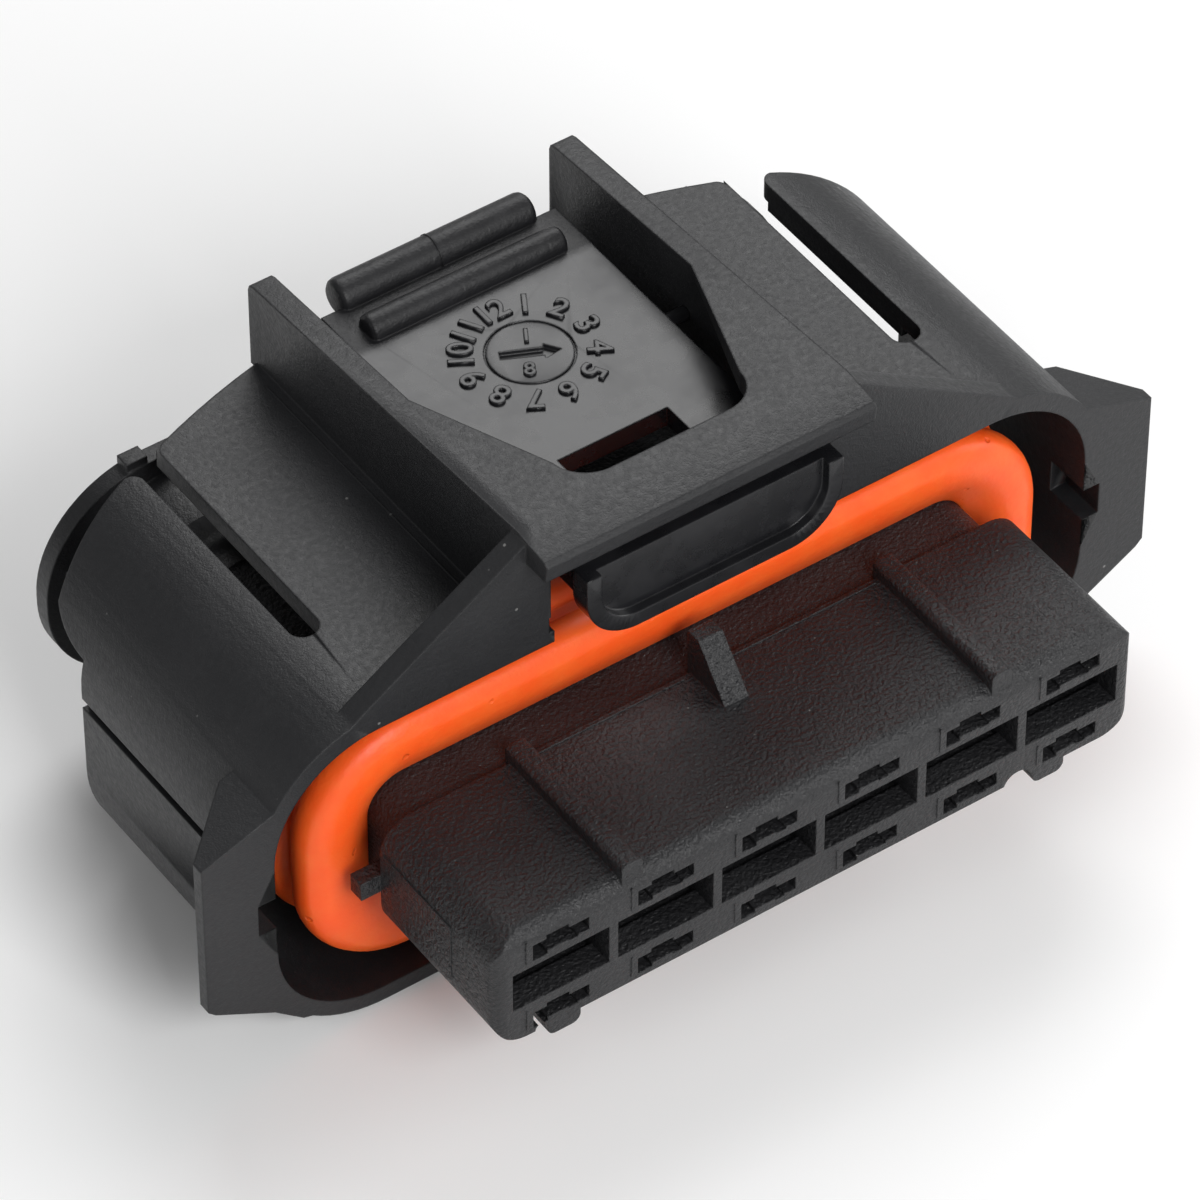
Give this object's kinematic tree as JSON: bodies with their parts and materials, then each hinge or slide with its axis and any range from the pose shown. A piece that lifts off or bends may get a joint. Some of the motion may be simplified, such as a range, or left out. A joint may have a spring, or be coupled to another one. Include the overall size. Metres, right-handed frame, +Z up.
{
  "type": "sealed automotive connector",
  "caption": "Sealed wire connector plug with a guarded press lever, a radial seal and a keyed nose with two rows of contact chambers.",
  "frame": {"origin": "centre of the shell's mating opening, on the front face of its flange", "axes": "+X along the long side, +Y to the rear where the wires enter, +Z up through the lever; the mating nose points along -Y"},
  "size_m": [0.0558, 0.0349, 0.0263],
  "materials": {
    "shell": "matt moulded",
    "lever": "polished moulded",
    "carrier": "fine spark-eroded grain",
    "seal": "satin",
    "lock": "smooth",
    "terminal": "tin plated"
  },
  "bodies": {
    "housing": {"outer_shell": "shell", "contact_carrier": "carrier", "radial_seal": "seal", "wire_seal_mat": "seal", "rear_cover": "shell", "terminal_01": "terminal", "terminal_02": "terminal", "terminal_03": "terminal", "terminal_04": "terminal", "terminal_05": "terminal", "terminal_06": "terminal", "terminal_07": "terminal", "terminal_08": "terminal", "terminal_09": "terminal", "terminal_10": "terminal", "terminal_11": "terminal", "terminal_12": "terminal"},
    "lever": {"lock_lever": "lever"},
    "position_lock": {"secondary_lock": "lock"}
  },
  "joints": [
    {"name": "lever_press", "type": "hinge", "parent": "housing", "child": "lever", "pos_m": [0, 0.012, 0.0123], "axis": [1, 0, 0], "range_deg": [-3, 0], "stiffness_Nm_per_rad": 0.5},
    {"name": "lock_slide", "type": "slide", "parent": "housing", "child": "position_lock", "axis": [-1, 0, 0], "range_m": [0, 0.001]}
  ]
}
